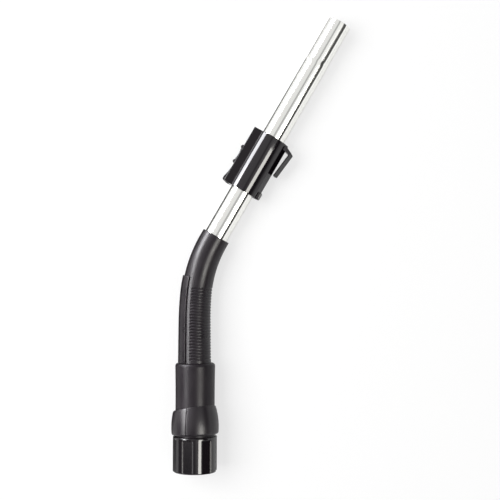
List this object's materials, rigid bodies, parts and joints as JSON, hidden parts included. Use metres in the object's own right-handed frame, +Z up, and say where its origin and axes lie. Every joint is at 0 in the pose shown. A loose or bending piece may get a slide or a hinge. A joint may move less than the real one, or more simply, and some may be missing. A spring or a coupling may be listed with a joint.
{
  "type": "vacuum wand elbow",
  "caption": "Bent hose-end handle of a vacuum cleaner: polished tube, suction regulator with hook, curved ribbed grip, neck, ball swivel and fluted hose cuff.",
  "frame": {"origin": "centre of the footprint, on the surface that the handle lies on", "axes": "+Y along the straight wand to its free end, +X to the hook side, which is the inner side of the bend, +Z up"},
  "size_m": [0.1878, 0.6232, 0.0636],
  "materials": {
    "polished_tube": "polished",
    "gloss_black": "gloss",
    "satin_black": "satin",
    "seal_rubber": "matte"
  },
  "bodies": {
    "handle": {"wand_tube": "polished_tube", "regulator_sleeve": "gloss_black", "handle_grip": "satin_black", "palm_cover": "satin_black", "neck_sleeve": "satin_black", "swivel_collar": "satin_black"},
    "cuff": {"hose_cuff": "gloss_black", "swivel_seal": "seal_rubber"},
    "slide": {"thumb_slide": "gloss_black", "bleed_shutter": "satin_black"}
  },
  "joints": [
    {"name": "hose_swivel", "type": "hinge", "parent": "handle", "child": "cuff", "pos_m": [0.06956, -0.29741, 0.03457], "axis": [0.5017, -0.8634, 0.0532], "continuous": true},
    {"name": "bleed_slide", "type": "slide", "parent": "handle", "child": "slide", "axis": [0, 1, 0], "range_m": [0, 0.014]}
  ]
}
